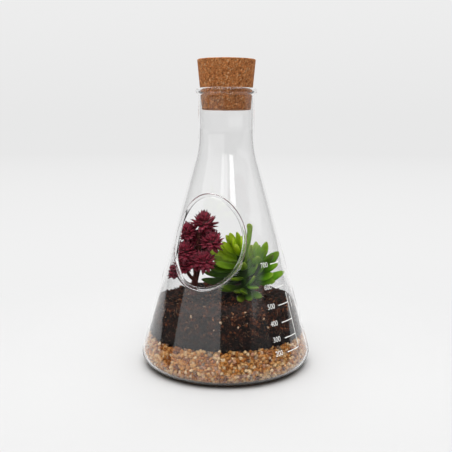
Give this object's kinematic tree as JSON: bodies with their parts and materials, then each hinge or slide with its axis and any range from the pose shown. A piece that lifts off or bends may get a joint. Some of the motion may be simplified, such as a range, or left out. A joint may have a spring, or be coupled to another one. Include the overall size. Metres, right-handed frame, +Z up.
{
  "type": "terrarium",
  "caption": "Conical glass flask terrarium with a rounded side opening and a cork stopper, planted with burgundy and green succulents in dark soil over gravel.",
  "frame": {"origin": "middle of the flask's flat underside, on the table", "axes": "+Z up along the flask's axis, -Y out through the side opening"},
  "size_m": [0.131, 0.131, 0.2318],
  "materials": {
    "glass": "clear, polished",
    "cork": "pressed granules, matte",
    "gravel": "loose grit, matte",
    "soil": "fibrous soil, matte",
    "burgundy_leaf": "satin leaves",
    "green_leaf": "satin leaves"
  },
  "bodies": {
    "root": {"glass_flask": "glass", "cork_stopper": "cork", "gravel_bed": "gravel", "soil_bed": "soil", "burgundy_succulent": "burgundy_leaf", "green_succulent": "green_leaf"}
  },
  "joints": []
}
